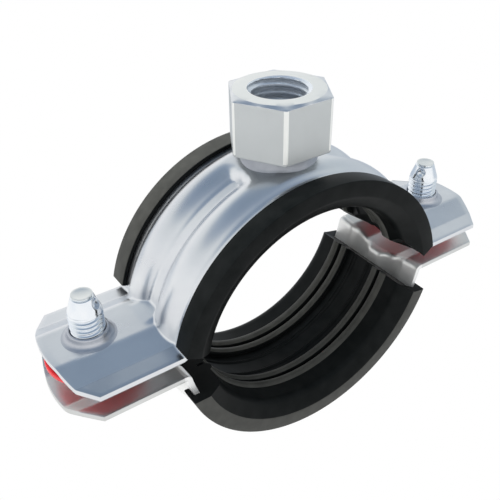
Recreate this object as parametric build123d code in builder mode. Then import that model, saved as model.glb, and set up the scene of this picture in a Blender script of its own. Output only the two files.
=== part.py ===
from build123d import *
import math
import os

# Rubber lined pipe clamp: two ribbed steel half bands with ears, two rubber linings, a welded
# connection nut and two captive screws.  Millimetres.
# Origin: middle of the pipe seat.  +Z: up through the connection nut.  Y: along the pipe.
# X: from ear to ear.

os.makedirs("parts", exist_ok=True)

# ---- driving dimensions -------------------------------------------------------------------
sheet = 1.5                 # steel sheet thickness
band_half_width = 17.6      # half the width of the steel band
band_outer_r = 41.1         # outer radius of the band at its flat edges
half_offset = 4.2           # each half is bent about a centre this far beyond the split plane
ear_gap = 5.8               # opening between the flat rims of the facing ears
rib_inner_y = 1.9           # foot of a rib beside the centre valley
rib_outer_y = 12.3          # foot of a rib beside the flat edge
rib_height = 2.4            # rise of a rib above the flat edge
crease_r = 1.6              # outside radius of the creases at the feet of the ribs

ear_bend_r = 2.0            # outside radius of the bends along the raised middle of an ear
ear_foot_y = 12.5           # foot of the raised middle of an ear
ear_plateau_y = 6.75        # half width of the raised middle of an ear
ear_plateau_rise = 2.8      # rise of that middle above the flat rim of the ear
ear_screw_reach = 15.7      # screw axis beyond the outer radius of the band
ear_end_reach = 11.8        # end of the ear beyond the screw axis
ear_shoulder_drop = 2.5     # how far the rounded end falls back at its corners
ear_shoulder_y = 12.7
ear_corner_drop = 6.3       # how far the corner cut falls back at the long edge
ramp_reach = 3.5            # end of the ramp of the centre valley beyond the band
ramp_half_width = 3.8       # half width of that ramp at the raised middle
ramp_lift = 0.6             # low end of the ramp above the flat rim of the ear

pad_half_length = 13.6      # half length of the filled valley under the nut
pad_drop = 0.15             # pad surface below the crest of the ribs
pad_notch_r = 2.4           # rounded end of the valley beside the pad

nut_flats = 24.0            # across flats of the connection nut
nut_height = 14.7
nut_stand = 2.8             # underside of the hexagon above the crest of the ribs
nut_bore_r = 6.95           # minor radius of the M16 thread
nut_mouth_r = 7.85          # countersink at the mouth
nut_mouth_depth = 0.9
nut_recess_r = 7.6          # relief of the hole above the pad
nut_recess_height = 1.0
nut_face_share = 0.95       # round top face as a share of the width across flats
nut_edge_drop = 1.2         # edge of the hexagon below the round top face
weld_top_r = 9.6            # weld collar below the hexagon
weld_foot_r = 10.8
weld_sink = 0.6             # how far the collar follows the band down past the crest

screw_r = 4.0               # M8
screw_clearance = 0.05      # radial, in the threaded necks and the retaining washers
screw_length = 27.05        # under the head
screw_cone_length = 5.1     # tapered point
screw_tip_r = 2.6
tip_dish_r = 2.0            # shallow dish in the end of the point
tip_dish_depth = 0.5
head_flats = 13.0
head_height = 6.6
head_flange_r = 7.6
head_flange_height = 1.4
head_slack = 0.05           # gap between head flange and ear
drive_width = 1.3
drive_length = 8.2
drive_depth = 2.6

neck_rim_r = 5.1            # drawn neck around the screw
neck_foot_r = 6.6
neck_height = 2.6           # rise above the ear
ear_hole_r = 4.5            # plain hole in the lower ear

washer_r = 11.6             # plastic retaining washer
washer_thickness = 1.5
washer_drop = 0.2           # top of the washer below the flat rim of the upper ear
washer_edge = 0.4

lining_fit = 0.05           # clearance between rubber and steel
lining_side = 2.7           # rubber beside the edge of the band
lining_lip = 1.35           # lip outside the band
lining_lip_hold = 3.0       # how far the lip reaches over the edge of the band
lining_thickness = 6.0      # rubber inside the band, at the smooth side bands
lining_bevel_width = 2.9    # bevel between seat and side face
lining_bevel_height = 3.3
lip_round = 0.5
valley_depth = 1.7          # deeper middle of the seat
fine_ridge_y = 2.8
fine_ridge_half = 0.55
fine_ridge_rise = 0.6
bead_in_y = 6.4
bead_crest_y = 7.4
bead_rise = 0.7
slit_in_y = 8.45
slit_out_y = 9.25
slit_shoulder = 0.8
slit_depth = 1.3
strip_lead = 0.2
strip_crest_y = 10.3
strip_rise = 0.9
strip_out_y = 12.0
upper_cut_inner_z = 2.2     # slanted end of the upper lining, at its inner and outer face
upper_cut_outer_z = 6.0
lower_cut_drop = 9.6        # level end of the lower lining below the split plane

# ---- derived values -----------------------------------------------------------------------
rim_in_z = ear_gap / 2
rim_out_z = rim_in_z + sheet
plateau_out_z = rim_out_z + ear_plateau_rise
plateau_in_z = plateau_out_z - sheet
rib_mid_y = (rib_inner_y + rib_outer_y) / 2
crest_r = band_outer_r + rib_height
crest_z = crest_r - half_offset
band_inner_r = band_outer_r - sheet
screw_x = band_outer_r + ear_screw_reach
ear_end_x = screw_x + ear_end_reach
ear_shoulder_x = ear_end_x - ear_shoulder_drop
ear_corner_x = ear_end_x - ear_corner_drop
ramp_end_x = band_outer_r + ramp_reach
nut_seat_z = crest_z + nut_stand
lining_inner_r = band_inner_r - lining_thickness
lining_lip_r = band_outer_r + lining_lip
lining_half_width = band_half_width + lining_side
spare = 4 * sheet
reach = ear_end_x + spare
side = band_half_width + spare
tall = crest_r + spare
neck_top_z = plateau_out_z + neck_height
seat_axis = Axis((0, 0, -half_offset), (0, 1, 0))
section = Plane.YZ
ring_section = Plane((0, 0, -half_offset), x_dir=(0, 1, 0), z_dir=(1, 0, 0))

# ---- sections shared by both halves (drawn with Y of the part as X, height as Y) ----------
with BuildSketch() as ring_outer:
    with BuildLine() as ring_line:
        Polyline((0, 0), (side, 0), (side, band_outer_r), (rib_outer_y, band_outer_r))
        ThreePointArc((rib_outer_y, band_outer_r), (rib_mid_y, crest_r), (rib_inner_y, band_outer_r))
        Line((rib_inner_y, band_outer_r), (0, band_outer_r))
        mirror(about=Plane.YZ)
    make_face()
    rib_feet = [v for v in ring_outer.vertices() if rib_inner_y - 0.1 < abs(v.X) < rib_outer_y + 0.1]
    fillet(rib_feet, crease_r)

with BuildSketch() as ring_inner:
    offset(ring_outer.face(), amount=-sheet, kind=Kind.INTERSECTION)
    with Locations((0, sheet)):
        Rectangle(2 * (side - sheet), 2 * sheet)

with BuildSketch() as hat_outer:
    with BuildLine() as hat_line:
        Polyline((0, -tall), (side, -tall), (side, rim_out_z), (ear_foot_y, rim_out_z),
                 (ear_plateau_y, plateau_out_z), (0, plateau_out_z))
        mirror(about=Plane.YZ)
    make_face()
    hat_bends = [v for v in hat_outer.vertices() if v.Y > 0 and abs(v.X) < ear_foot_y + 0.1]
    fillet(hat_bends, ear_bend_r)

with BuildSketch() as hat_inner:
    offset(hat_outer.face(), amount=-sheet, kind=Kind.INTERSECTION)

with BuildSketch() as plan:
    with BuildLine() as plan_line:
        Polyline((0, band_half_width), (ear_corner_x, band_half_width),
                 (ear_shoulder_x, ear_shoulder_y))
        ThreePointArc((ear_shoulder_x, ear_shoulder_y), (ear_end_x, 0),
                      (ear_shoulder_x, -ear_shoulder_y))
        Polyline((ear_shoulder_x, -ear_shoulder_y), (ear_corner_x, -band_half_width),
                 (0, -band_half_width))
        mirror(about=Plane.YZ)
    make_face()

# ---- outside and inside shapes of the sheet, upper half -----------------------------------
with BuildSketch() as pad_plan:
    Rectangle(2 * pad_half_length, 2 * rib_mid_y)
    with Locations((pad_half_length, 0), (-pad_half_length, 0)):
        Circle(pad_notch_r, mode=Mode.SUBTRACT)

with BuildSketch() as pad_plan_inner:
    Rectangle(2 * (pad_half_length - sheet), 2 * (rib_mid_y - sheet))
    with Locations((pad_half_length, 0), (-pad_half_length, 0)):
        Circle(pad_notch_r + sheet, mode=Mode.SUBTRACT)

with BuildPart() as pad_outer:
    with BuildSketch(Plane.XZ.offset(-rib_mid_y)):
        with Locations((0, -half_offset)):
            Circle(crest_r - pad_drop)
    extrude(amount=2 * rib_mid_y)
    with BuildSketch(Plane.XY):
        add(pad_plan.sketch)
    extrude(amount=tall, mode=Mode.INTERSECT)

with BuildPart() as pad_inner:
    with BuildSketch(Plane.XZ.offset(-rib_mid_y)):
        with Locations((0, -half_offset)):
            Circle(crest_r - pad_drop - sheet)
    extrude(amount=2 * rib_mid_y)
    with BuildSketch(Plane.XY):
        add(pad_plan_inner.sketch)
    extrude(amount=tall, mode=Mode.INTERSECT)

# ramp from the end of the centre valley up to the raised middle of the ear
ramp_low_z = rim_out_z + ramp_lift
ramp_low_x = math.sqrt(band_outer_r ** 2 - (ramp_low_z + half_offset) ** 2)
ramp_slope = (plateau_out_z - ramp_low_z) / (ramp_end_x - ramp_low_x)
ramp_shift = sheet * math.sqrt(1 + ramp_slope ** 2)
ramp_start_x = ramp_low_x - sheet
ramp_start_z = ramp_low_z - ramp_slope * sheet
ramp_top_z = plateau_out_z + sheet

with BuildPart() as ramp_outer:
    with BuildSketch(Plane.XZ):
        Polygon((ramp_start_x, ramp_start_z), (ramp_end_x, plateau_out_z),
                (ramp_end_x, ramp_top_z), (ramp_start_x, ramp_top_z), align=None)
    extrude(amount=ramp_half_width, both=True)
    with BuildSketch(Plane.XY):
        Polygon((ramp_start_x, -rib_inner_y), (ramp_end_x, -ramp_half_width),
                (ramp_end_x, ramp_half_width), (ramp_start_x, rib_inner_y), align=None)
    extrude(amount=tall, mode=Mode.INTERSECT)
    mirror(about=Plane.YZ)

with BuildPart() as ramp_inner:
    with BuildSketch(Plane.XZ):
        Polygon((ramp_start_x, ramp_start_z - ramp_shift),
                (ramp_end_x + sheet, plateau_out_z - ramp_shift + ramp_slope * sheet),
                (ramp_end_x + sheet, ramp_top_z), (ramp_start_x, ramp_top_z), align=None)
    extrude(amount=ramp_half_width + sheet, both=True)
    with BuildSketch(Plane.XY):
        Polygon((ramp_start_x, -rib_inner_y - sheet),
                (ramp_end_x + sheet, -ramp_half_width - sheet),
                (ramp_end_x + sheet, ramp_half_width + sheet),
                (ramp_start_x, rib_inner_y + sheet), align=None)
    extrude(amount=tall, mode=Mode.INTERSECT)
    mirror(about=Plane.YZ)

with BuildPart() as shell_outside:
    with BuildSketch(section):
        add(hat_outer.sketch)
    extrude(amount=reach, both=True)
    add(ramp_outer.part, mode=Mode.SUBTRACT)
    with BuildSketch(ring_section):
        add(ring_outer.sketch)
    revolve(axis=seat_axis, revolution_arc=360)

with BuildPart() as shell_inside:
    with BuildSketch(section):
        add(hat_inner.sketch)
    extrude(amount=reach, both=True)
    add(ramp_inner.part, mode=Mode.SUBTRACT)
    with BuildSketch(ring_section):
        add(ring_inner.sketch)
    revolve(axis=seat_axis, revolution_arc=360)

with BuildPart() as upper_outside:
    add(shell_outside.part)
    add(pad_outer.part)

with BuildPart() as upper_inside:
    add(shell_inside.part)
    add(pad_inner.part)

with BuildPart() as plan_block:
    with BuildSketch(Plane.XY):
        add(plan.sketch)
    extrude(amount=tall)

# ---- drawn neck around a screw, section in XZ ----------------------------------------------
neck_bore_r = screw_r + screw_clearance
with BuildSketch(Plane.XZ) as neck_section:
    with BuildLine() as neck_line:
        Polyline((neck_foot_r, plateau_out_z), (neck_foot_r, plateau_in_z + sheet / 2),
                 (neck_bore_r, plateau_in_z + sheet / 2), (neck_bore_r, neck_top_z),
                 (neck_rim_r - sheet / 4, neck_top_z), (neck_rim_r, neck_top_z - sheet / 4),
                 (neck_rim_r + sheet / 8, neck_top_z - sheet))
        ThreePointArc((neck_rim_r + sheet / 8, neck_top_z - sheet),
                      (neck_rim_r + sheet / 3, plateau_out_z + sheet / 3),
                      (neck_foot_r, plateau_out_z))
    make_face()

with BuildPart() as neck:
    add(neck_section.sketch)
    revolve(axis=Axis.Z, revolution_arc=360)

# ---- upper band ----------------------------------------------------------------------------
with BuildPart() as upper_band:
    add(upper_outside.part)
    add(upper_inside.part, mode=Mode.SUBTRACT)
    add(plan_block.part, mode=Mode.INTERSECT)
    with Locations((screw_x, 0, 0), (-screw_x, 0, 0)):
        add(neck.part)
    with BuildSketch(Plane.XY):
        with Locations((screw_x, 0), (-screw_x, 0)):
            Circle(neck_bore_r)
    extrude(amount=neck_top_z + sheet, mode=Mode.SUBTRACT)
upper_band.part.label = "upper_band"

# ---- lower band ----------------------------------------------------------------------------
with BuildPart() as half_band:
    add(shell_outside.part)
    add(shell_inside.part, mode=Mode.SUBTRACT)
    add(plan_block.part, mode=Mode.INTERSECT)

with BuildPart() as lower_band:
    add(mirror(half_band.part, about=Plane.XY))
    with BuildSketch(Plane.XY):
        with Locations((screw_x, 0), (-screw_x, 0)):
            Circle(ear_hole_r)
    extrude(amount=-(plateau_out_z + sheet), mode=Mode.SUBTRACT)
lower_band.part.label = "lower_band"

# ---- rubber lining section -----------------------------------------------------------------
channel_out_r = band_outer_r + lining_fit
channel_in_r = band_inner_r - lining_fit
channel_y = band_half_width + lining_fit
lining_lip_y = band_half_width - lining_lip_hold
lining_bevel_y = lining_half_width - lining_bevel_width
lining_bevel_r = lining_inner_r + lining_bevel_height
bevel_mid_y = (lining_bevel_y + lining_half_width) / 2 + lip_round
bevel_mid_r = (lining_inner_r + lining_bevel_r) / 2 - lip_round
valley_r = lining_inner_r + valley_depth
bead_crest_r = lining_inner_r - bead_rise
slit_top_r = lining_inner_r + slit_shoulder
slit_bottom_r = slit_top_r + slit_depth
strip_lead_r = lining_inner_r + strip_lead
strip_crest_r = lining_inner_r - strip_rise

with BuildSketch() as lining_section:
    with BuildLine() as lining_line:
        Polyline((0, channel_in_r), (0, valley_r), (fine_ridge_y - fine_ridge_half, valley_r),
                 (fine_ridge_y, valley_r - fine_ridge_rise),
                 (fine_ridge_y + fine_ridge_half, valley_r), (bead_in_y, valley_r))
        ThreePointArc((bead_in_y, valley_r), (bead_crest_y, bead_crest_r), (slit_in_y, slit_top_r))
        Polyline((slit_in_y, slit_top_r), (slit_in_y, slit_bottom_r),
                 (slit_out_y, slit_bottom_r), (slit_out_y, strip_lead_r))
        ThreePointArc((slit_out_y, strip_lead_r), (strip_crest_y, strip_crest_r),
                      (strip_out_y, lining_inner_r))
        Line((strip_out_y, lining_inner_r), (lining_bevel_y, lining_inner_r))
        ThreePointArc((lining_bevel_y, lining_inner_r), (bevel_mid_y, bevel_mid_r),
                      (lining_half_width, lining_bevel_r))
        Polyline((lining_half_width, lining_bevel_r),
                 (lining_half_width, lining_lip_r - lip_round),
                 (lining_half_width - lip_round, lining_lip_r),
                 (lining_lip_y + lip_round, lining_lip_r),
                 (lining_lip_y, lining_lip_r - lip_round), (lining_lip_y, channel_out_r),
                 (channel_y, channel_out_r), (channel_y, channel_in_r), (0, channel_in_r))
    make_face()
    mirror(about=Plane.YZ)

with BuildPart() as lining_ring:
    with BuildSketch(ring_section):
        add(lining_section.sketch)
    revolve(axis=seat_axis, revolution_arc=360)

# ---- upper lining --------------------------------------------------------------------------
cut_slope = (upper_cut_outer_z - upper_cut_inner_z) / (lining_lip_r - lining_inner_r)
cut_far_z = upper_cut_outer_z + cut_slope * spare
with BuildPart() as upper_lining:
    add(lining_ring.part)
    with BuildSketch(Plane.XZ):
        Polygon((-lining_inner_r, upper_cut_inner_z), (lining_inner_r, upper_cut_inner_z),
                (lining_lip_r + spare, cut_far_z), (lining_lip_r + spare, tall),
                (-lining_lip_r - spare, tall), (-lining_lip_r - spare, cut_far_z), align=None)
    extrude(amount=lining_half_width + spare, both=True, mode=Mode.INTERSECT)
upper_lining.part.label = "upper_lining"

# ---- lower lining --------------------------------------------------------------------------
with BuildPart() as lower_lining:
    add(mirror(lining_ring.part, about=Plane.XY))
    with BuildSketch(Plane.XY.offset(-lower_cut_drop)):
        Rectangle(2 * (lining_lip_r + spare), 2 * (lining_half_width + spare))
    extrude(amount=-tall, mode=Mode.INTERSECT)
lower_lining.part.label = "lower_lining"

# ---- connection nut ------------------------------------------------------------------------
nut_top_z = nut_seat_z + nut_height
nut_corner_r = nut_flats / math.sqrt(3)
face_r = nut_face_share * nut_flats / 2
nut_edge_z = nut_top_z - nut_edge_drop
weld_foot_z = crest_z - weld_sink
recess_z = crest_z + nut_recess_height
with BuildPart() as connection_nut:
    with BuildSketch(Plane.XY.offset(nut_seat_z)):
        RegularPolygon(radius=nut_corner_r, side_count=6)
    extrude(amount=nut_height - nut_edge_drop)
    with BuildSketch(Plane.XY.offset(nut_edge_z)):
        RegularPolygon(radius=nut_corner_r, side_count=6)
    with BuildSketch(Plane.XY.offset(nut_top_z)):
        Circle(face_r)
    loft()
    with BuildSketch(Plane.XZ):
        Polygon((0, weld_foot_z), (weld_foot_r, weld_foot_z), (weld_top_r, nut_seat_z),
                (0, nut_seat_z), align=None)
    revolve(axis=Axis.Z, revolution_arc=360)
    add(upper_outside.part, mode=Mode.SUBTRACT)
    with BuildSketch(Plane.XZ):
        Polygon((0, weld_foot_z - sheet), (nut_recess_r, weld_foot_z - sheet),
                (nut_recess_r, recess_z), (nut_bore_r, recess_z + nut_recess_r - nut_bore_r),
                (nut_bore_r, nut_top_z - nut_mouth_depth), (nut_mouth_r, nut_top_z),
                (0, nut_top_z), align=None)
    revolve(axis=Axis.Z, revolution_arc=360, mode=Mode.SUBTRACT)
connection_nut.part.label = "connection_nut"

# ---- screws --------------------------------------------------------------------------------
head_seat_z = -(plateau_out_z + head_slack)
head_low_z = head_seat_z - head_height
screw_tip_z = head_seat_z + screw_length
screw_cone_z = screw_tip_z - screw_cone_length
with BuildPart() as screw:
    with BuildSketch(Plane.XZ):
        Polygon((0, head_seat_z), (screw_r, head_seat_z), (screw_r, screw_cone_z),
                (screw_tip_r, screw_tip_z), (tip_dish_r, screw_tip_z),
                (0, screw_tip_z - tip_dish_depth), align=None)
    revolve(axis=Axis.Z, revolution_arc=360)
    with BuildSketch(Plane.XY.offset(head_seat_z)):
        Circle(head_flange_r)
    extrude(amount=-head_flange_height)
    with BuildSketch(Plane.XY.offset(head_seat_z)):
        RegularPolygon(radius=head_flats / math.sqrt(3), side_count=6)
    extrude(amount=-head_height)
    with BuildSketch(Plane.XY.offset(head_low_z)):
        Rectangle(drive_length, drive_width)
        Rectangle(drive_width, drive_length)
    extrude(amount=drive_depth, mode=Mode.SUBTRACT)

with BuildPart() as screw_left:
    with Locations((-screw_x, 0, 0)):
        add(screw.part)
screw_left.part.label = "screw_left"

with BuildPart() as screw_right:
    with Locations((screw_x, 0, 0)):
        add(screw.part)
screw_right.part.label = "screw_right"

# ---- retaining washers ---------------------------------------------------------------------
washer_top_z = rim_in_z - washer_drop
with BuildPart() as washer:
    with BuildSketch(Plane.XY.offset(washer_top_z)):
        Circle(washer_r)
        Circle(screw_r + screw_clearance, mode=Mode.SUBTRACT)
    extrude(amount=-washer_thickness)
    rims = washer.edges().filter_by(GeomType.CIRCLE).filter_by(lambda e: e.radius > washer_r - 1.0)
    fillet(rims, washer_edge)

with BuildPart() as retaining_washer_left:
    with Locations((-screw_x, 0, 0)):
        add(washer.part)
retaining_washer_left.part.label = "retaining_washer_left"

with BuildPart() as retaining_washer_right:
    with Locations((screw_x, 0, 0)):
        add(washer.part)
retaining_washer_right.part.label = "retaining_washer_right"

# ---- files ---------------------------------------------------------------------------------
export_step(upper_band.part, "parts/upper_band.step")
export_step(lower_band.part, "parts/lower_band.step")
export_step(upper_lining.part, "parts/upper_lining.step")
export_step(lower_lining.part, "parts/lower_lining.step")
export_step(connection_nut.part, "parts/connection_nut.step")
export_step(screw_left.part, "parts/screw_left.step")
export_step(screw_right.part, "parts/screw_right.step")
export_step(retaining_washer_left.part, "parts/retaining_washer_left.step")
export_step(retaining_washer_right.part, "parts/retaining_washer_right.step")
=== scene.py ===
import bpy
import bmesh
import math
from mathutils import Matrix, Vector


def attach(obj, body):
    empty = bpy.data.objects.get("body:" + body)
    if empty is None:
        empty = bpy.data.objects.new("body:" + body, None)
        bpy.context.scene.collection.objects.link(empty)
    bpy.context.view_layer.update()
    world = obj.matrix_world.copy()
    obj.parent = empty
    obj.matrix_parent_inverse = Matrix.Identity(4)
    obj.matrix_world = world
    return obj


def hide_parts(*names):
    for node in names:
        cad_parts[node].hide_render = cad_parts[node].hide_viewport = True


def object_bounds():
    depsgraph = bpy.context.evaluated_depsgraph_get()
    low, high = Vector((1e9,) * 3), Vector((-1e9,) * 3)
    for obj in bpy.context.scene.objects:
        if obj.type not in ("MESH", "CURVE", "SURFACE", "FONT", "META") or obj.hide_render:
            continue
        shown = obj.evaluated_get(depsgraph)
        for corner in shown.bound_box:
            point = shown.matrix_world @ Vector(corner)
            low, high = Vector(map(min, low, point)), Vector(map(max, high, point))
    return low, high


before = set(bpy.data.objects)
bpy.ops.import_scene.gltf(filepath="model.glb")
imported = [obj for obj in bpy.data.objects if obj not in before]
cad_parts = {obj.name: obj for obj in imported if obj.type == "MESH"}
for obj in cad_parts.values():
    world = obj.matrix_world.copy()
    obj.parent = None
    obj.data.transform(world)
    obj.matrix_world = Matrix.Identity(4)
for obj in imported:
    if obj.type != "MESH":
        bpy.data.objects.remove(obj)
cad_low, cad_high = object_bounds()
MM = 0.001
TURN = 2 * math.pi

# ---- camera ---------------------------------------------------------------------------------
CAMERA_AT = Vector((-0.0933933, -0.12464446, 0.1160037))
CAMERA_FORWARD = Vector((0.46136034, 0.68419159, -0.56482609))
CAMERA_RIGHT = Vector((0.82384514, -0.56665475, -0.01347484))
CAMERA_UP = Vector((0.32928076, 0.45911247, 0.82509995))
CAMERA_LENS = 48.5367
SENSOR_WIDTH = 36.0

cam_data = bpy.data.cameras.new("camera")
cam_data.sensor_width = SENSOR_WIDTH
cam_data.lens = CAMERA_LENS
cam_data.clip_start = 0.005
cam = bpy.data.objects.new("camera", cam_data)
bpy.context.scene.collection.objects.link(cam)
turn = Matrix((CAMERA_RIGHT, CAMERA_UP, -CAMERA_FORWARD)).transposed()
cam.matrix_world = Matrix.Translation(CAMERA_AT) @ turn.to_4x4()
bpy.context.scene.camera = cam


# ---- materials ------------------------------------------------------------------------------
GRAIN_DEPTH = 0.0001


def ramp(tree, stops):
    """A colour ramp with the given stops, in rising order."""
    node = tree.nodes.new("ShaderNodeValToRGB")
    elements = node.color_ramp.elements
    for number, (position, color) in enumerate(stops):
        stop = elements[number] if number < 2 else elements.new(position)
        stop.position = position
        stop.color = (*color, 1.0)
    return node


def noise(tree, coords, scale, detail):
    """Noise laid on the piece itself."""
    node = tree.nodes.new("ShaderNodeTexNoise")
    node.inputs["Scale"].default_value = scale
    node.inputs["Detail"].default_value = detail
    tree.links.new(coords.outputs["Object"], node.inputs["Vector"])
    return node


def grain_relief(tree, pattern, strength, bsdf):
    """Lets the pattern stand up as a very fine relief."""
    relief = tree.nodes.new("ShaderNodeBump")
    relief.inputs["Strength"].default_value = strength
    relief.inputs["Distance"].default_value = GRAIN_DEPTH
    tree.links.new(pattern.outputs["Fac"], relief.inputs["Height"])
    tree.links.new(relief.outputs["Normal"], bsdf.inputs["Normal"])


def metal(name, dark, light, gloss, grain, bump, metallic=1.0):
    """Zinc plating: soft cloudy tone, uneven gloss (lowest and highest roughness), fine grain."""
    mat = bpy.data.materials.new(name)
    mat.use_nodes = True
    tree = mat.node_tree
    bsdf = tree.nodes["Principled BSDF"]
    bsdf.inputs["Metallic"].default_value = metallic
    coords = tree.nodes.new("ShaderNodeTexCoord")
    cloud = noise(tree, coords, grain, 4.0)
    fine = noise(tree, coords, 9.0 * grain, 3.0)
    tone = ramp(tree, ((0.35, dark), (0.65, light)))
    rough = tree.nodes.new("ShaderNodeMapRange")
    rough.inputs["To Min"].default_value, rough.inputs["To Max"].default_value = gloss
    tree.links.new(cloud.outputs["Fac"], tone.inputs["Fac"])
    tree.links.new(tone.outputs["Color"], bsdf.inputs["Base Color"])
    tree.links.new(cloud.outputs["Fac"], rough.inputs["Value"])
    tree.links.new(rough.outputs["Result"], bsdf.inputs["Roughness"])
    grain_relief(tree, fine, bump, bsdf)
    return mat


def soft(name, dark, light, roughness, grain, bump, specular=0.5):
    """Rubber and plastic: a slightly uneven colour with a fine moulded grain."""
    mat = bpy.data.materials.new(name)
    mat.use_nodes = True
    tree = mat.node_tree
    bsdf = tree.nodes["Principled BSDF"]
    bsdf.inputs["Roughness"].default_value = roughness
    bsdf.inputs["Specular IOR Level"].default_value = specular
    coords = tree.nodes.new("ShaderNodeTexCoord")
    cloud = noise(tree, coords, grain, 5.0)
    tone = ramp(tree, ((0.3, dark), (0.7, light)))
    tree.links.new(cloud.outputs["Fac"], tone.inputs["Fac"])
    tree.links.new(tone.outputs["Color"], bsdf.inputs["Base Color"])
    grain_relief(tree, cloud, bump, bsdf)
    return mat


STEEL = metal("zinc_sheet", (0.72, 0.74, 0.77), (0.79, 0.81, 0.83), (0.25, 0.32), 90.0, 0.04)
STEEL_LOW = metal("zinc_sheet_low", (0.66, 0.67, 0.66), (0.73, 0.74, 0.73), (0.38, 0.48),
                  90.0, 0.04)
# painted light: a brighter, less metallic copy of the lower band's steel for its lit ring
STEEL_RING_LIT = metal("zinc_sheet_ring_painted_light", (0.80, 0.80, 0.79), (0.88, 0.88, 0.86), (0.3, 0.4),
                   90.0, 0.04, metallic=0.62)
# painted shade: a darker copy of the sheet's steel for the front flange of one ear
STEEL_FLANGE_SHADE = metal("zinc_sheet_flange_painted_shade", (0.56, 0.59, 0.62), (0.63, 0.66, 0.69), (0.26, 0.34),
                   90.0, 0.04)
COLLAR = metal("zinc_neck", (0.50, 0.52, 0.57), (0.62, 0.64, 0.68), (0.34, 0.44), 140.0, 0.1)
# the weld's own rougher look, darkened as well by painted shade under the hexagon
WELD_AND_SHADE = metal("weld", (0.36, 0.38, 0.42), (0.46, 0.48, 0.52), (0.42, 0.55), 220.0, 0.3)
NUT = metal("zinc_nut", (0.50, 0.52, 0.52), (0.53, 0.55, 0.55), (0.42, 0.5), 120.0, 0.04,
            metallic=0.6)
# painted highlight: a near-white copy of the zinc for the nut's corner edges, its lit top face and
# the tops of the screws' points
PAINTED_HIGHLIGHT = metal("nut_painted_highlight", (0.84, 0.86, 0.84), (0.90, 0.91, 0.89), (0.3, 0.4), 120.0, 0.02)
THREAD = metal("nut_thread", (0.70, 0.74, 0.79), (0.80, 0.84, 0.88), (0.2, 0.28), 120.0, 0.02,
               metallic=0.85)
SCREW = metal("zinc_screw", (0.80, 0.85, 0.91), (0.90, 0.93, 0.96), (0.14, 0.2), 200.0, 0.03)
RUBBER = soft("rubber", (0.004, 0.005, 0.005), (0.008, 0.009, 0.009), 0.36, 260.0, 0.1,
              specular=0.06)
# painted light: a lighter grey copy of the rubber for lit lips, flanks and bead crests
RUBBER_LIT = soft("rubber_painted_light", (0.034, 0.034, 0.030), (0.052, 0.052, 0.046), 0.5, 300.0, 0.1,
                   specular=0.25)
RED = soft("red_plastic", (0.70, 0.015, 0.02), (0.78, 0.02, 0.03), 0.35, 120.0, 0.05)


# ---- mesh pieces ----------------------------------------------------------------------------
SHEET_SHARP = 32.0        # edges turned by more than this many degrees stay crisp
NUT_SHARP = 24.0
SCREW_SHARP = 48.0
MERGE_GAP = 0.002
SHORTEST_EDGE = 0.001
THREAD_STEPS = 14         # rows of points to one turn of a thread


def grid(rows, cols, start=0, close_rows=False, close_cols=False):
    """Quads over points numbered row by row."""
    faces = []
    for i in range(rows if close_rows else rows - 1):
        for j in range(cols if close_cols else cols - 1):
            a, b = i, (i + 1) % rows
            c, d = j, (j + 1) % cols
            faces.append((start + a * cols + c, start + a * cols + d,
                          start + b * cols + d, start + b * cols + c))
    return faces


def piece(name, points, faces, look, body, stands_for=None, sharp=SHEET_SHARP):
    """A mesh object from points in millimetres, shaded smooth except over sharp edges."""
    mesh = bpy.data.meshes.new(name)
    mesh.from_pydata([(MM * x, MM * y, MM * z) for x, y, z in points], [], faces)
    work = bmesh.new()
    work.from_mesh(mesh)
    bmesh.ops.remove_doubles(work, verts=work.verts, dist=MM * MERGE_GAP)
    bmesh.ops.dissolve_degenerate(work, edges=work.edges, dist=MM * SHORTEST_EDGE)
    bmesh.ops.recalc_face_normals(work, faces=work.faces)
    work.to_mesh(mesh)
    work.free()
    obj = bpy.data.objects.new(name, mesh)
    bpy.context.scene.collection.objects.link(obj)
    finish_piece(obj, look, sharp)
    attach(obj, body)
    if stands_for:
        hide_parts(stands_for)
    return obj


def finish_piece(obj, look, sharp):
    """One look all over, smooth shading, crisp edges."""
    mesh = obj.data
    mesh.materials.clear()
    mesh.materials.append(look)
    mesh.polygons.foreach_set("use_smooth", [True] * len(mesh.polygons))
    mesh.set_sharp_from_angle(angle=math.radians(sharp))
    mesh.update()


def bridge(faces, count, i, k):
    """Joins two closed rings of points, given by their numbers."""
    for j in range(count):
        n = (j + 1) % count
        faces.append((i * count + j, i * count + n, k * count + n, k * count + j))


def helix(rings, z_low, z_high, pitch, count, radius):
    """Rows of points that climb with a right hand thread, and the faces between them."""
    step = pitch / THREAD_STEPS
    rows = int((z_high - z_low) / step) + THREAD_STEPS + 2
    first = len(rings)
    for k in range(rows):
        row = []
        for j in range(count):
            a = TURN * j / count
            z = min(max(z_low - pitch + step * k + pitch * a / TURN, z_low), z_high)
            r = radius(z, (k % THREAD_STEPS) / THREAD_STEPS)
            row.append((r * math.cos(a), r * math.sin(a), z))
        rings.append(row)
    faces = []
    for k in range(rows - 1):
        for j in range(count):
            n = (j + 1) % count
            shift = THREAD_STEPS if n == 0 else 0
            lower = min(k + shift, rows - 1)
            upper = min(k + shift + 1, rows - 1)
            faces.append(((first + k) * count + j, (first + lower) * count + n,
                          (first + upper) * count + n, (first + k + 1) * count + j))
    return faces


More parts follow.
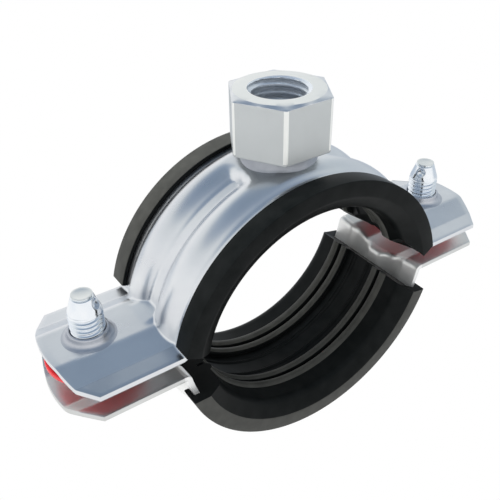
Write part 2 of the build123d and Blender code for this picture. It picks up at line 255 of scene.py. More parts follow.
def round_corners(points, radius, steps=3, least=25.0):
    """A closed outline with its sharp corners rounded."""
    result = []
    count = len(points)
    for i, here in enumerate(points):
        before, after = points[i - 1], points[(i + 1) % count]
        back = (before[0] - here[0], before[1] - here[1])
        ahead = (after[0] - here[0], after[1] - here[1])
        lb, la = math.hypot(*back), math.hypot(*ahead)
        cosine = (back[0] * ahead[0] + back[1] * ahead[1]) / (lb * la)
        bend = 180.0 - math.degrees(math.acos(max(-1.0, min(1.0, cosine))))
        if bend < least:
            result.append(here)
            continue
        cut = min(radius, 0.45 * lb, 0.45 * la)
        p = (here[0] + back[0] / lb * cut, here[1] + back[1] / lb * cut)
        q = (here[0] + ahead[0] / la * cut, here[1] + ahead[1] / la * cut)
        for k in range(steps + 1):
            t = k / steps
            result.append(((1 - t) ** 2 * p[0] + 2 * t * (1 - t) * here[0] + t * t * q[0],
                           (1 - t) ** 2 * p[1] + 2 * t * (1 - t) * here[1] + t * t * q[1]))
    return result


def arc3(p, q, r, steps):
    """Points on the arc from p through q to r, without p."""
    ax, ay, bx, by, cx, cy = *p, *q, *r
    d = 2 * (ax * (by - cy) + bx * (cy - ay) + cx * (ay - by))
    a2, b2, c2 = ax * ax + ay * ay, bx * bx + by * by, cx * cx + cy * cy
    ux = (a2 * (by - cy) + b2 * (cy - ay) + c2 * (ay - by)) / d
    uy = (a2 * (cx - bx) + b2 * (ax - cx) + c2 * (bx - ax)) / d
    start = math.atan2(ay - uy, ax - ux)
    mid = (math.atan2(by - uy, bx - ux) - start) % TURN
    end = (math.atan2(cy - uy, cx - ux) - start) % TURN
    if mid > end:
        end -= TURN
    size = math.hypot(ax - ux, ay - uy)
    return [(ux + size * math.cos(start + end * k / steps),
             uy + size * math.sin(start + end * k / steps)) for k in range(1, steps + 1)]


# ---- steel bands ----------------------------------------------------------------------------
SHEET = 1.5
BAND_HALF = 17.6          # half of the band's width
BAND_R = 41.1             # outside of the band between the ribs
OFFSET = 4.2              # ring centres lie this far past the split plane
RIB_IN, RIB_OUT, RIB_UP = 1.9, 12.3, 2.4
EAR_BEND, EAR_FOLD, EAR_FOOT, EAR_TOP_Y, EAR_RISE = 4.5, 1.2, 12.5, 6.75, 2.8
FLANGE_TILT = 0.085
RIM_Z = 4.4               # outside of an ear's flange
TOP_Z = RIM_Z + EAR_RISE
GUSSET_X = 44.1           # facet between the ear's flat top and the ring
GUSSET_HALF = 4.6
GUSSET_SLOPE = 0.2
GUSSET_EDGE = 1.0
GUSSET_BLEND = 0.6
SCREW_X = 56.8
EAR_END = 68.6
EAR_END_R = 33.5          # rounded end of an ear, with two straight corners
EAR_CORNER_Y = 12.7
EAR_CORNER_X, EAR_SIDE_X = 66.1, 62.3
PAD_HALF = 13.6           # pressed pad under the nut
PAD_SQUEEZE = 2.2
CUT_ROUND = 0.25          # rounding of the cut edges
SKIN, CUT_CHAMFER = 0.06, 0.1
UPPER_FOLD, LOWER_FOLD = 0.9, 0.15
UPPER_CREASE, LOWER_CREASE = 1.6, 0.7
NECK_BORE, EAR_HOLE = 4.4, 4.5
EAR_START_X = 41.0            # the ears begin here
EAR_STEPS, GUSSET_STEPS, FOLD_STEPS, RING_STEPS = 12, 8, 7, 90
ROW_STEP, ROWS = 0.35, 41
OUTER_ROWS = [14.6, 15.4, 16.3]
# painted shade on the front flange: how high its faces may lie and how far up they must face
SHADED_FLANGE_RISE, FACING_UP = 0.3, 0.8
RIB_MID = (RIB_IN + RIB_OUT) / 2
RIB_R = ((RIB_MID - RIB_IN) ** 2 + RIB_UP ** 2) / (2 * RIB_UP)
RIB_CENTRE = RIB_UP - RIB_R
SLOPE = math.atan2(EAR_RISE, EAR_FOOT - EAR_TOP_Y)
BEND_RUN = EAR_BEND * math.tan(SLOPE / 2)
FOLD_RUN = EAR_FOLD * math.tan(SLOPE / 2)


def rib_rise(y, depth, crease):
    """Height of the ribs over the band at y, at a depth inside the sheet."""
    d = abs(abs(y) - RIB_MID)
    foot = math.sqrt((RIB_R + crease) ** 2 - (crease - RIB_CENTRE) ** 2)
    if d < (RIB_R - depth) * foot / (RIB_R + crease):
        return RIB_CENTRE + math.sqrt((RIB_R - depth) ** 2 - d ** 2)
    if d < foot:
        return crease - math.sqrt(max((crease + depth) ** 2 - (foot - d) ** 2, 0.0))
    return -depth


def ear_rise(y, depth):
    """Height of the ear's raised middle over its flange."""
    d = abs(y)
    a = d - (EAR_TOP_Y - BEND_RUN)
    b = EAR_FOOT + FOLD_RUN - d
    if a <= 0:
        return EAR_RISE - depth
    if b <= 0:
        return -depth + FLANGE_TILT * b
    if a < (EAR_BEND - depth) * math.sin(SLOPE):
        return EAR_RISE - EAR_BEND + math.sqrt((EAR_BEND - depth) ** 2 - a ** 2)
    if b < (EAR_FOLD + depth) * math.sin(SLOPE):
        return EAR_FOLD - math.sqrt((EAR_FOLD + depth) ** 2 - b ** 2)
    return EAR_RISE - (d - EAR_TOP_Y) * math.tan(SLOPE) - depth / math.cos(SLOPE)


def ease(t):
    """Smooth step from 0 to 1."""
    t = min(max(t, 0.0), 1.0)
    return t * t * (3 - 2 * t)


def ring_r(x, y, depth, pad, crease):
    """Radius of the ring; the valley between the ribs fills up towards the pad."""
    a = abs(y)
    if pad and a < RIB_MID:
        over = max(pad - abs(x), 0.0)
        a = min(math.hypot(over * PAD_SQUEEZE, a), RIB_MID)
    return BAND_R + rib_rise(a, depth, crease)


def ear_end_x(y):
    """Cut end of an ear."""
    a = abs(y)
    if a <= EAR_CORNER_Y:
        return EAR_END - EAR_END_R + math.sqrt(EAR_END_R ** 2 - a ** 2)
    share = (a - EAR_CORNER_Y) / (BAND_HALF - EAR_CORNER_Y)
    return EAR_CORNER_X + (EAR_SIDE_X - EAR_CORNER_X) * share


def band_row(y, depth, pad, inset, fold_r, crease):
    """Half outline of the sheet across the band: from the end of the ear up to the top."""
    r = BAND_R + rib_rise(y, depth, crease)
    flat_z = RIM_Z + ear_rise(y, depth)
    fold = fold_r + depth
    slope = 0.0
    if pad:
        slope = -GUSSET_SLOPE * (1 - ease((abs(y) - GUSSET_HALF + GUSSET_EDGE) / (2 * GUSSET_EDGE)))
    n = math.sqrt(1 + slope ** 2)
    c0 = flat_z - slope * GUSSET_X + fold * n + OFFSET
    a2, a1, a0 = 1 + slope ** 2, 2 * slope * c0, c0 ** 2 - (r + fold) ** 2
    cx = (-a1 + math.sqrt(a1 * a1 - 4 * a2 * a0)) / (2 * a2)
    cz = c0 + slope * cx
    tx = cx + fold * slope / n
    turn_at = math.atan2(cz, cx)
    end = ear_end_x(y) - inset
    start = GUSSET_X + GUSSET_BLEND
    points = [(end + (start - end) * k / EAR_STEPS, flat_z) for k in range(EAR_STEPS + 1)]
    for k in range(1, GUSSET_STEPS + 1):
        x = start + (tx - start) * k / GUSSET_STEPS
        u = GUSSET_X - x
        drop = slope * u
        if u < GUSSET_BLEND:
            drop = slope * max(u + GUSSET_BLEND, 0.0) ** 2 / (4 * GUSSET_BLEND)
        points.append((x, flat_z - drop))
    begin = -math.pi / 2 + math.atan(slope)
    finish = turn_at - math.pi
    for k in range(1, FOLD_STEPS + 1):
        a = begin + (finish - begin) * k / FOLD_STEPS
        points.append((cx + fold * math.cos(a), cz - OFFSET + fold * math.sin(a)))
    for k in range(1, RING_STEPS + 1):
        a = turn_at + (math.pi / 2 - turn_at) * k / RING_STEPS
        rr = ring_r(r * math.cos(a), y, depth, pad, crease)
        points.append((rr * math.cos(a), rr * math.sin(a) - OFFSET))
    return points


def band(name, node, body, up, pad, fold_r, crease, look):
    """One half of the steel band; up is 1 for the upper half and -1 for the lower."""
    near = [ROW_STEP * k for k in range(ROWS)] + OUTER_ROWS
    ys = [-v for v in reversed(near[1:])] + near

    def full(y, depth, inset):
        half = band_row(y, depth, pad, inset, fold_r, crease)
        return ([(x, y, up * z) for x, z in half]
                + [(-x, y, up * z) for x, z in reversed(half[:-1])])

    # skins and the rounded cut edge between them
    layers = [(0.0, CUT_ROUND), (SKIN, CUT_CHAMFER), (CUT_ROUND, 0.0),
              (SHEET - CUT_ROUND, 0.0), (SHEET - SKIN, CUT_CHAMFER), (SHEET, CUT_ROUND)]
    points, faces, rims = [], [], []
    for number, (depth, inset) in enumerate(layers):
        side_y = BAND_HALF - inset
        skin = number in (0, len(layers) - 1)
        rows = []
        for y in [-side_y] + ys + [side_y]:
            if skin or abs(y) == side_y:
                rows.append(full(y, depth, inset))
            else:
                z = up * (RIM_Z + ear_rise(y, depth))
                x = ear_end_x(y) - inset
                rows.append([(x, y, z), (-x, y, z)])
        index = []
        for row in rows:
            index.append(list(range(len(points), len(points) + len(row))))
            points.extend(row)
        if skin:
            cols = len(rows[0])
            faces.extend(grid(len(rows), cols, index[0][0]))
        rim = list(index[0])
        rim += [row[-1] for row in index[1:-1]]
        rim += list(reversed(index[-1]))
        rim += [row[0] for row in reversed(index[1:-1])]
        rims.append(rim)
    for a, b in zip(rims, rims[1:]):
        for k in range(len(a)):
            m = (k + 1) % len(a)
            faces.append((a[k], a[m], b[m], b[k]))
    return piece(name, points, faces, look, body, node)


def paint_ring_light(obj, look):
    """Painted light: the ring of the lower band gets a brighter, less metallic copy of the sheet's
    look, standing in for its lit faces.
    """
    obj.data.materials.append(look)
    for poly in obj.data.polygons:
        if abs(poly.center[0]) < MM * EAR_START_X:
            poly.material_index = 1


def paint_flange_shade(obj, edge):
    """Painted shade: the front flange of one ear gets a darker copy of the sheet's look."""
    obj.data.materials.append(edge)
    for poly in obj.data.polygons:
        x, y, z = (c / MM for c in poly.center)
        on_top = z < RIM_Z + SHADED_FLANGE_RISE and poly.normal[2] > FACING_UP
        if x < -EAR_START_X and y < -EAR_FOOT and on_top:
            poly.material_index = 1


def cut_away(obj, cutter):
    """Takes the cutter's shape out of the object and removes the cutter."""
    cut = obj.modifiers.new("hole", "BOOLEAN")
    cut.operation = "DIFFERENCE"
    cut.solver = "EXACT"
    cut.object = cutter
    bpy.context.view_layer.update()
    done = bpy.data.meshes.new_from_object(
        obj.evaluated_get(bpy.context.evaluated_depsgraph_get()))
    obj.modifiers.clear()
    obj.data = done
    bpy.data.objects.remove(cutter)


def bore(obj, radius, look):
    """Holes for both screws."""
    for side in (1, -1):
        bpy.ops.mesh.primitive_cylinder_add(vertices=64, radius=MM * radius, depth=0.05,
                                            location=(side * MM * SCREW_X, 0.0, 0.0))
        cut_away(obj, bpy.context.object)
    finish_piece(obj, look, SHEET_SHARP)


upper = band("upper_sheet", "upper_band", "upper_half", 1.0, PAD_HALF, UPPER_FOLD,
             UPPER_CREASE, STEEL)
bore(upper, NECK_BORE, STEEL)
paint_flange_shade(upper, STEEL_FLANGE_SHADE)
lower = band("lower_sheet", "lower_band", "lower_half", -1.0, 0.0, LOWER_FOLD,
             LOWER_CREASE, STEEL_LOW)
bore(lower, EAR_HOLE, STEEL_LOW)
paint_ring_light(lower, STEEL_RING_LIT)


# ---- drawn necks around the screws ----------------------------------------------------------
NECK_POINTS = 96
NECK_R = 5.2
NECK_FLARE = 0.9


def neck(name, side):
    """Collar drawn up from the ear; the profile is radius and height over the ear's top."""
    profile = [(NECK_BORE, -1.2), (NECK_BORE, 1.5), (4.45, 2.15), (4.5, 2.38)]
    profile += arc3(profile[-1], (4.68, 2.56), (4.85, 2.5), 3)
    profile += arc3(profile[-1], (5.07, 2.33), (5.16, 2.0), 4)
    profile += [(NECK_R, 1.6)]
    profile += arc3(profile[-1], (5.62, 0.5), (6.7, 0.03), 9)
    profile += [(7.1, -0.08), (6.6, -0.6), (5.0, -1.2)]
    points = []
    for k in range(NECK_POINTS):
        a = TURN * k / NECK_POINTS
        for r, h in profile:
            y = r * math.sin(a)
            sink = (ear_rise(y, 0.0) - EAR_RISE) * ease((r - NECK_R) / NECK_FLARE)
            points.append((side * SCREW_X + r * math.cos(a), y, TOP_Z + h + sink))
    faces = grid(NECK_POINTS, len(profile), close_rows=True, close_cols=True)
    piece(name, points, faces, COLLAR, "upper_half")


neck("neck_left", -1)
neck("neck_right", 1)


# ---- rubber linings -------------------------------------------------------------------------
SEAT_R = BAND_R - SHEET - 6.0
LIP_R = BAND_R + 1.35
SIDE_Y = BAND_HALF + 2.7
LIP_REACH = 3.0           # how far a lip reaches over the band
STEEL_GAP = 0.05
CUT_LOW_Z = 2.2           # cut ends of the upper lining
CUT_RISE = 3.8
WAVE_R = 39.2             # the wavy part of the cut lies inside this radius
WAVE_SLOPE = 1.15
LIP_SLOPE = 1.17
VALLEY_R = 35.3
WAVE_HALF = 14.0
LINING_STEPS = 150
LINING_ROUND = 0.35
LOWER_CUT_Z = 9.6         # cut ends of the lower lining
SLANT_R, SLANT = 39.6, 0.6
END_WAVE = ((-20.3, 8.4), (-16.5, 8.0), (-12.5, 4.9), (-8.6, 5.4), (-8.0, 9.8), (-2.7, 6.4),
            (-2.4, 10.8), (7.8, 4.8), (20.3, 5.6))


def lining_half():
    """Half section of the lining, (y, radius), from the middle of the seat round to the steel."""
    valley = SEAT_R + 1.7
    line = [(0.0, valley), (2.25, valley), (2.8, valley - 0.6), (3.35, valley), (6.4, valley)]
    line += arc3(line[-1], (7.4, SEAT_R - 0.7), (8.45, SEAT_R + 0.8), 8)
    line += [(8.45, SEAT_R + 2.1), (9.25, SEAT_R + 2.1), (9.25, SEAT_R + 0.2)]
    line += arc3(line[-1], (10.3, SEAT_R - 0.9), (12.0, SEAT_R), 7)
    line += [(SIDE_Y - 4.4, SEAT_R)]
    line += arc3(line[-1], (SIDE_Y - 3.0, SEAT_R + 0.35), (SIDE_Y - 1.9, SEAT_R + 1.2), 5)
    line += [(SIDE_Y, SEAT_R + 4.5)]
    steel_out, steel_in = BAND_R + STEEL_GAP, BAND_R - SHEET - STEEL_GAP
    steel_side = BAND_HALF + STEEL_GAP
    lip_end = BAND_HALF - LIP_REACH
    line += [(SIDE_Y, LIP_R), (lip_end, LIP_R), (lip_end, steel_out),
             (steel_side, steel_out), (steel_side, steel_in), (0.0, steel_in)]
    return line


def end_angle(r, y, side, end_z):
    """Angle at which this line of the section meets the cut end."""
    return math.asin((end_z(r, y, side) + OFFSET) / r)


def lining(name, node, body, up, end_z):
    """The section swept round one half, between the cut ends."""
    half = lining_half()
    outline = half + [(-y, r) for y, r in reversed(half[1:-1])]
    outline = round_corners(outline, LINING_ROUND)
    points = []
    starts = [end_angle(r, y, 1, end_z) for y, r in outline]
    stops = [math.pi - end_angle(r, y, -1, end_z) for y, r in outline]
    for k in range(LINING_STEPS + 1):
        t = k / LINING_STEPS
        for (y, r), a, b in zip(outline, starts, stops):
            here = a + (b - a) * t
            points.append((r * math.cos(here), y, up * (r * math.sin(here) - OFFSET)))
    cols = len(outline)
    faces = grid(LINING_STEPS + 1, cols, close_cols=True)
    faces.append(tuple(range(cols)))
    faces.append(tuple(reversed(range(LINING_STEPS * cols, (LINING_STEPS + 1) * cols))))
    obj = piece(name, points, faces, RUBBER, body, node)
    obj.data.materials.append(RUBBER_LIT)
    # painted light: lighter grey on the top-lit outside of the lips, the lower flanks lit from the
    # floor and glints on the crests of the beads
    for poly in obj.data.polygons:
        x, y, z = (c / MM for c in poly.center)
        r = math.hypot(x, up * z + OFFSET)
        outside = r > LIP_R - 0.1 and (y > 0 or up < 0)
        flank = up < 0 and abs(y) > SIDE_Y - 0.06
        crest = r < SEAT_R - 0.12
        if len(poly.vertices) == 4 and (outside or flank or crest):
            poly.material_index = 1


def between(table, x):
    """Straight lines between the table's points."""
    for (a, p), (b, q) in zip(table, table[1:]):
        if x <= b:
            return p + (q - p) * max(x - a, 0.0) / (b - a)
    return table[-1][1]


def upper_cut(r, y, side):
    """Height of the upper lining's cut end: slanted at one side, wavy at the other."""
    if side < 0:
        return CUT_LOW_Z + (r - SEAT_R) * CUT_RISE / (LIP_R - SEAT_R)
    if r > WAVE_R:
        return CUT_LOW_Z + (r - WAVE_R) * LIP_SLOPE
    level = between(END_WAVE, y)
    if abs(y) < WAVE_HALF:
        return level - (r - VALLEY_R) * WAVE_SLOPE
    return level - (r - VALLEY_R) * (level - CUT_LOW_Z) / (WAVE_R - VALLEY_R)


def lower_cut(r, y, side):
    """Height of the lower lining's cut end, slanted at one side."""
    if side < 0 or r > SLANT_R:
        return LOWER_CUT_Z
    return LOWER_CUT_Z - SLANT * (SLANT_R - r)


lining("upper_rubber", "upper_lining", "upper_half", 1.0, upper_cut)
lining("lower_rubber", "lower_lining", "lower_half", -1.0, lower_cut)

# ---- connection nut -------------------------------------------------------------------------
NUT_HALF = 12.0           # half of the width across flats
CREST_Z = BAND_R + RIB_UP - OFFSET
NUT_Z = CREST_Z + 2.8
NUT_TOP = NUT_Z + 14.7
EDGE_ROUND = 0.65
CORNER_DROP = 0.55        # the corners end this far below the top face
NUT_POINTS = 288
NUT_PITCH = 2.0
NUT_CREST_R, NUT_ROOT_R, NUT_BORE_R = 6.95, 7.98, 7.6
FACE_R = 0.96 * NUT_HALF
MOUTH_R, MOUTH_SLOPE = 7.88, 2.4
MOUTH_RIM_R = 7.95
MOUTH_Z = NUT_TOP - 0.1
NUT_THREAD_Z = CREST_Z + 0.2
WELD_FOOT_R, WELD_TOP_R = 10.3, 9.15
WELD_PROFILE = ((-0.12, WELD_FOOT_R), (0.0, 9.9), (0.08, 9.65), (0.2, 9.45), (0.38, 9.3),
                (0.62, 9.2), (0.85, WELD_TOP_R))
CORNER_R = 13.55          # painted highlight on the corner edges lies outside this radius
THREAD_EDGE_R = 8.1       # the thread's look ends here
WELD_SHADE_LOOK, HIGHLIGHT_LOOK, THREAD_LOOK, STEEL_LOOK = 1, 2, 3, 4


def hexagon(a, half, rounding):
    """Distance from the axis to a hexagon with rounded corners, flats facing +-Y."""
    local = (a % (TURN / 6)) - TURN / 12
    flat = half / math.cos(local)
    corner = half / math.cos(TURN / 12)
    centre = corner - rounding / math.cos(TURN / 12)
    off = TURN / 12 - abs(local)
    inside = rounding ** 2 - (centre * math.sin(off)) ** 2
    if inside <= 0:
        return flat
    round_edge = centre * math.cos(off) + math.sqrt(inside)
    touch = centre * math.sin(off) <= rounding / 2
    return min(flat, round_edge) if touch else flat


def band_top(x, y):
    """Height of the upper band's outside near its crown."""
    r = ring_r(x, y, 0.0, PAD_HALF, UPPER_CREASE)
    return math.sqrt(max(r * r - x * x, 0.0)) - OFFSET


def nut_thread(z, phase):
    """Radius of the nut's bore: thread, widened mouth at the top and relief at the bottom."""
    if z >= MOUTH_Z:
        return MOUTH_R
    if z <= NUT_THREAD_Z:
        return NUT_BORE_R
    wave = min(1.0, max(0.0, (abs(phase - 0.5) * 2 - 0.12) / 0.72))
    mouth = MOUTH_R - MOUTH_SLOPE * (MOUTH_Z - z)
    relief = min(NUT_BORE_R, NUT_BORE_R - (z - CREST_Z - 1.0))
    return max(NUT_CREST_R + (NUT_ROOT_R - NUT_CREST_R) * wave, mouth, relief)


def nut():
    """Weld collar, hexagon and threaded bore in one closed mesh."""
    count = NUT_POINTS
    rings = []
    angles = [TURN * k / count for k in range(count)]

    def ring(radius, height):
        """One ring of points from radius(angle) and height(x, y)."""
        row = []
        for a in angles:
            r = radius(a)
            x, y = r * math.cos(a), r * math.sin(a)
            row.append((x, y, height(x, y)))
        rings.append(row)

    def round_at(r, z):
        ring(lambda a: r, lambda x, y: z)

    def hexagon_at(half, z):
        ring(lambda a: hexagon(a, half, EDGE_ROUND), lambda x, y: z)

    # weld collar from the band up to the hexagon
    for t, r in WELD_PROFILE:
        ring(lambda a: r, lambda x, y: band_top(x, y) + (NUT_Z - band_top(x, y)) * t)
    round_at(WELD_TOP_R, NUT_Z)
    for inset, rise in ((0.5, 0.0), (0.15, 0.12), (0.0, 0.4), (0.0, 0.8)):
        hexagon_at(NUT_HALF - inset, NUT_Z + rise)
    for drop in (1.1, 0.58):
        hexagon_at(NUT_HALF, NUT_TOP - drop)
    # chamfer from the corners in to the top face
    for t in (0.03, 0.35, 0.65):
        ring(lambda a: hexagon(a, NUT_HALF, EDGE_ROUND) * (1 - t) + FACE_R * t,
             lambda x, y: NUT_TOP - CORNER_DROP + CORNER_DROP * t)
    for r in (FACE_R, 9.5, MOUTH_RIM_R):
        round_at(r, NUT_TOP)
    outside = len(rings)
    faces = grid(outside, count, close_cols=True)
    faces += helix(rings, NUT_THREAD_Z, MOUTH_Z, NUT_PITCH, count, nut_thread)
    ring(lambda a: NUT_BORE_R, lambda x, y: band_top(x, y) - 0.1)
    last = len(rings) - 1
    for i, k in ((outside - 1, last - 1), (outside, last), (last, 0)):
        bridge(faces, count, i, k)
    points = [p for row in rings for p in row]
    obj = piece("nut_mesh", points, faces, NUT, "upper_half",
                "connection_nut", NUT_SHARP)
    for look in (WELD_AND_SHADE, PAINTED_HIGHLIGHT, THREAD, STEEL):
        obj.data.materials.append(look)
    chamfer_z = NUT_TOP - CORNER_DROP - 0.04
    for poly in obj.data.polygons:
        x, y, z = (c / MM for c in poly.center)
        r = math.hypot(x, y)
        corner = r > CORNER_R and NUT_Z + 0.8 < z < chamfer_z
        # weld look with painted shade under the hexagon, on the collar below the nut
        if z < NUT_Z - 0.01 and 9.0 < r < WELD_FOOT_R:
            poly.material_index = WELD_SHADE_LOOK
        # painted highlight on the corner edges and on the lit top face
        elif corner or z > NUT_TOP - 0.01:
            poly.material_index = HIGHLIGHT_LOOK
        elif r < THREAD_EDGE_R:
            poly.material_index = THREAD_LOOK
        elif z > chamfer_z:
            poly.material_index = STEEL_LOOK


nut()

# ---- screws ---------------------------------------------------------------------------------
SCREW_POINTS = 96
SCREW_PITCH = 1.25
SCREW_TOP = 19.8
SCREW_UNDER = -(TOP_Z + 0.05)          # face of the flange that bears on the lower ear
FLANGE_Z = SCREW_UNDER - 1.4
HEAD_Z = SCREW_UNDER - 6.6
SHANK_R = 3.9
SCREW_CREST_R, SCREW_THREAD_DEPTH = 4.3, 0.62
CONE_Z, CONE_R, CONE_SLIM = SCREW_TOP - 5.1, 4.05, 1.25
CONE_LOW_Z, CONE_TOP_Z = CONE_Z + 0.8, SCREW_TOP - 0.8
SCREW_THREAD_Z = SCREW_UNDER + 0.4
CONE_STEPS = 20
DENT_DOWN, DENT_WIDE, DENT_HIGH, DENT_DEEP = 2.3, 0.42, 1.35, 0.5
DRIVE_LENGTH, DRIVE_WIDTH, DRIVE_DEPTH = 8.2, 1.3, 2.6
HEAD_LOW = ((0.0, 0.25), (4.6, 0.25), (5.0, 0.0), (5.9, 0.0))
HEAD_HEXAGON = ((6.35, HEAD_Z + 0.35), (6.5, HEAD_Z + 0.7), (6.5, FLANGE_Z - 0.5))
HEAD_ROUND = 0.5
FLANGE = ((7.1, FLANGE_Z - 0.02), (7.55, FLANGE_Z + 0.25), (7.6, FLANGE_Z + 0.6),
          (7.6, SCREW_UNDER - 0.2), (7.4, SCREW_UNDER), (SHANK_R, SCREW_UNDER))
TIP = ((2.7, 0.7), (2.3, 0.6), (2.3, 0.28), (2.6, 0.18), (2.58, 0.04), (2.4, 0.0), (1.9, 0.1),
       (1.0, 0.2), (0.0, 0.22))        # radius and depth under the very top
TIP_DISH = 0.24


def screw_thread(z, phase):
    """Radius of the screw's thread, which dies out into the tapered point."""
    if z <= SCREW_THREAD_Z:
        return SHANK_R
    if z >= CONE_LOW_Z:
        return CONE_R
    wave = min(1.0, max(0.0, (abs(phase - 0.5) * 2 - 0.1) / 0.75))
    slim = SCREW_CREST_R - max(0.0, z - CONE_Z + 0.2) * 0.25
    return slim - SCREW_THREAD_DEPTH * (1 - ease((z - CONE_Z + 0.4) / 0.9)) * wave


def cone_flank(a, z, dent):
    """Radius of the tapered point, with a shallow dent and its raised rim at one side."""
    t = min(max((z - CONE_LOW_Z) / (CONE_TOP_Z - CONE_LOW_Z), 0.0), 1.0)
    away = ((a - dent + math.pi) % TURN) - math.pi
    far = math.hypot(away / DENT_WIDE, (z - SCREW_TOP + DENT_DOWN) / DENT_HIGH)
    rim = 0.1 * math.exp(-((far - 1.0) / 0.3) ** 2)
    return CONE_R - CONE_SLIM * t + rim - DENT_DEEP * (1 - ease(far / 1.05))


def screw(name, node, body, side, dent):
    """Flange head, threaded shank and tapered point; dent is the angle of the dent."""
    count = SCREW_POINTS
    rings = []
    angles = [TURN * k / count for k in range(count)]

    def ring(radius, z):
        rings.append([(radius(a) * math.cos(a), radius(a) * math.sin(a), z) for a in angles])

    for r, rise in HEAD_LOW:
        ring(lambda a: r, HEAD_Z + rise)
    for half, z in HEAD_HEXAGON:
        ring(lambda a: hexagon(a, half, HEAD_ROUND), z)
    for r, z in FLANGE:
        ring(lambda a: r, z)
    faces = grid(len(rings), count, close_cols=True)
    below = len(rings)
    faces += helix(rings, SCREW_THREAD_Z, CONE_LOW_Z, SCREW_PITCH, count, screw_thread)
    above = len(rings)
    for k in range(1, CONE_STEPS + 1):
        z = CONE_LOW_Z + (CONE_TOP_Z - CONE_LOW_Z) * k / CONE_STEPS
        ring(lambda a: cone_flank(a, z, dent), z)
    for r, drop in TIP:
        ring(lambda a: r, SCREW_TOP - drop)
    for i, k in [(below - 1, below)] + [(n, n + 1) for n in range(above - 1, len(rings) - 1)]:
        bridge(faces, count, i, k)
    points = [(side * SCREW_X + x, y, z) for row in rings for x, y, z in row]
    obj = piece(name, points, faces, SCREW, body, node, SCREW_SHARP)
    # cross recess in the head
    for length, width in ((DRIVE_LENGTH, DRIVE_WIDTH), (DRIVE_WIDTH, DRIVE_LENGTH)):
        bpy.ops.mesh.primitive_cube_add(size=1.0, location=(side * MM * SCREW_X, 0.0, MM * HEAD_Z))
        bpy.context.object.scale = (MM * length, MM * width, MM * 2 * DRIVE_DEPTH)
        cut_away(obj, bpy.context.object)
    finish_piece(obj, SCREW, SCREW_SHARP)
    # painted highlight on the top of the point
    obj.data.materials.append(PAINTED_HIGHLIGHT)
    for poly in obj.data.polygons:
        if poly.center[2] > MM * (SCREW_TOP - TIP_DISH):
            poly.material_index = 1


screw("screw_mesh_left", "screw_left", "screw_left_body", -1, math.radians(312.0))
screw("screw_mesh_right", "screw_right", "screw_right_body", 1, math.radians(205.0))

for name in ("retaining_washer_left", "retaining_washer_right"):
    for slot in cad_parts[name].material_slots:
        slot.material = RED

# ---- studio ---------------------------------------------------------------------------------
FLOOR_GAP = 0.0107        # leaves room for the lower half when it is let down
FLOOR_Z = cad_low[2] - FLOOR_GAP
FLOOR_SIZE = 6.0
WHITE = (1.0, 1.0, 1.0)


def seen(tree, shader, plain):
    """The plain shader wherever the camera, a reflection or glass looks at it directly."""
    path = tree.nodes.new("ShaderNodeLightPath")
    either = tree.nodes.new("ShaderNodeMath")
    either.operation = "MAXIMUM"
    any_of = tree.nodes.new("ShaderNodeMath")
    any_of.operation = "MAXIMUM"
    mix = tree.nodes.new("ShaderNodeMixShader")
    tree.links.new(path.outputs["Is Camera Ray"], either.inputs[0])
    tree.links.new(path.outputs["Is Glossy Ray"], either.inputs[1])
    tree.links.new(either.outputs[0], any_of.inputs[0])
    tree.links.new(path.outputs["Is Transmission Ray"], any_of.inputs[1])
    tree.links.new(any_of.outputs[0], mix.inputs["Fac"])
    tree.links.new(shader.outputs[0], mix.inputs[1])
    tree.links.new(plain.outputs[0], mix.inputs[2])
    return mix


floor_mat = bpy.data.materials.new("floor")
floor_mat.use_nodes = True
floor_tree = floor_mat.node_tree
floor_tree.nodes.clear()
floor_out = floor_tree.nodes.new("ShaderNodeOutputMaterial")
floor_diffuse = floor_tree.nodes.new("ShaderNodeBsdfDiffuse")
floor_diffuse.inputs["Color"].default_value = (0.85, 0.85, 0.85, 1.0)
floor_white = floor_tree.nodes.new("ShaderNodeEmission")
floor_white.inputs["Color"].default_value = (*WHITE, 1.0)
floor_shown = seen(floor_tree, floor_diffuse, floor_white)
floor_coords = floor_tree.nodes.new("ShaderNodeTexCoord")
floor_split = floor_tree.nodes.new("ShaderNodeSeparateXYZ")
floor_sum = floor_tree.nodes.new("ShaderNodeMath")
floor_fade = ramp(floor_tree, ((0.0, WHITE), (0.4, (0.56, 0.62, 0.69))))
floor_mirrored = floor_tree.nodes.new("ShaderNodeEmission")
floor_path = floor_tree.nodes.new("ShaderNodeLightPath")
floor_pick = floor_tree.nodes.new("ShaderNodeMixShader")
floor_tree.links.new(floor_coords.outputs["Object"], floor_split.inputs[0])
floor_tree.links.new(floor_split.outputs["X"], floor_sum.inputs[0])
floor_tree.links.new(floor_split.outputs["Y"], floor_sum.inputs[1])
floor_tree.links.new(floor_sum.outputs[0], floor_fade.inputs["Fac"])
floor_tree.links.new(floor_fade.outputs["Color"], floor_mirrored.inputs["Color"])
floor_tree.links.new(floor_path.outputs["Is Glossy Ray"], floor_pick.inputs["Fac"])
floor_tree.links.new(floor_shown.outputs[0], floor_pick.inputs[1])
floor_tree.links.new(floor_mirrored.outputs[0], floor_pick.inputs[2])
floor_tree.links.new(floor_pick.outputs[0], floor_out.inputs["Surface"])
bpy.ops.mesh.primitive_plane_add(size=FLOOR_SIZE, location=(0.0, 0.0, FLOOR_Z))
floor = bpy.context.object
floor.name = "floor"
floor.data.materials.append(floor_mat)

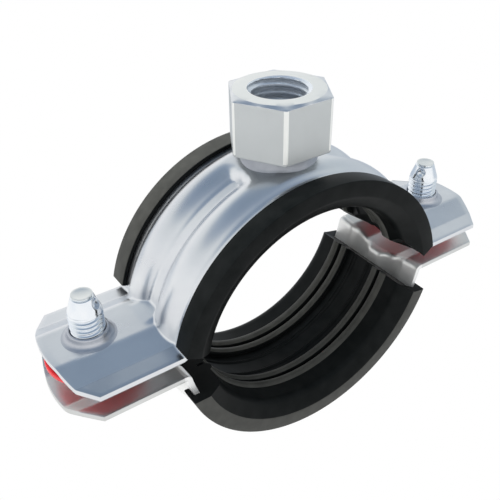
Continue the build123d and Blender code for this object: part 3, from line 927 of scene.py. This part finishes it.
# room: bright all round near the horizon, blue grey overhead, white where the camera looks
world = bpy.data.worlds.new("world")
bpy.context.scene.world = world
world.use_nodes = True
world_tree = world.node_tree
room = world_tree.nodes["Background"]
where = world_tree.nodes.new("ShaderNodeTexCoord")
split = world_tree.nodes.new("ShaderNodeSeparateXYZ")
sky = ramp(world_tree, ((0.0, WHITE), (0.28, WHITE), (0.44, (0.90, 0.92, 0.94)),
                (0.62, (0.86, 0.88, 0.87)), (0.76, (0.38, 0.45, 0.54)),
                (0.88, (0.25, 0.32, 0.43)), (1.0, (0.24, 0.31, 0.40))))
side_fade = ramp(world_tree, ((0.56, WHITE), (0.85, (0.66, 0.71, 0.75))))
sky_mix = world_tree.nodes.new("ShaderNodeMix")
sky_mix.data_type = "RGBA"
sky_mix.blend_type = "MULTIPLY"
sky_mix.inputs["Factor"].default_value = 1.0
world_tree.links.new(where.outputs["Generated"], split.inputs[0])
world_tree.links.new(split.outputs["X"], side_fade.inputs["Fac"])
world_tree.links.new(sky.outputs["Color"], sky_mix.inputs[6])
world_tree.links.new(side_fade.outputs["Color"], sky_mix.inputs[7])
world_tree.links.new(split.outputs["Z"], sky.inputs["Fac"])
world_tree.links.new(sky_mix.outputs[2], room.inputs["Color"])
white = world_tree.nodes.new("ShaderNodeBackground")
white.inputs["Color"].default_value = (*WHITE, 1.0)
world_path = world_tree.nodes.new("ShaderNodeLightPath")
world_mix = world_tree.nodes.new("ShaderNodeMixShader")
world_tree.links.new(world_path.outputs["Is Camera Ray"], world_mix.inputs["Fac"])
world_tree.links.new(room.outputs[0], world_mix.inputs[1])
world_tree.links.new(white.outputs[0], world_mix.inputs[2])
world_tree.links.new(world_mix.outputs[0], world_tree.nodes["World Output"].inputs["Surface"])


def area(name, at, side, power):
    """Square lamp that looks at the origin and isn't mirrored in the metal."""
    lamp = bpy.data.lights.new(name, "AREA")
    lamp.size = side
    lamp.energy = power
    obj = bpy.data.objects.new(name, lamp)
    bpy.context.scene.collection.objects.link(obj)
    obj.visible_glossy = False
    obj.location = at
    obj.rotation_mode = "QUATERNION"
    obj.rotation_quaternion = (-Vector(at)).to_track_quat("-Z", "Y")


area("overhead", (-0.1, 0.1, 0.6), 0.5, 5.0)
area("front", (-0.3, -0.45, 0.25), 0.3, 0.6)

bpy.context.scene.view_settings.view_transform = "Standard"
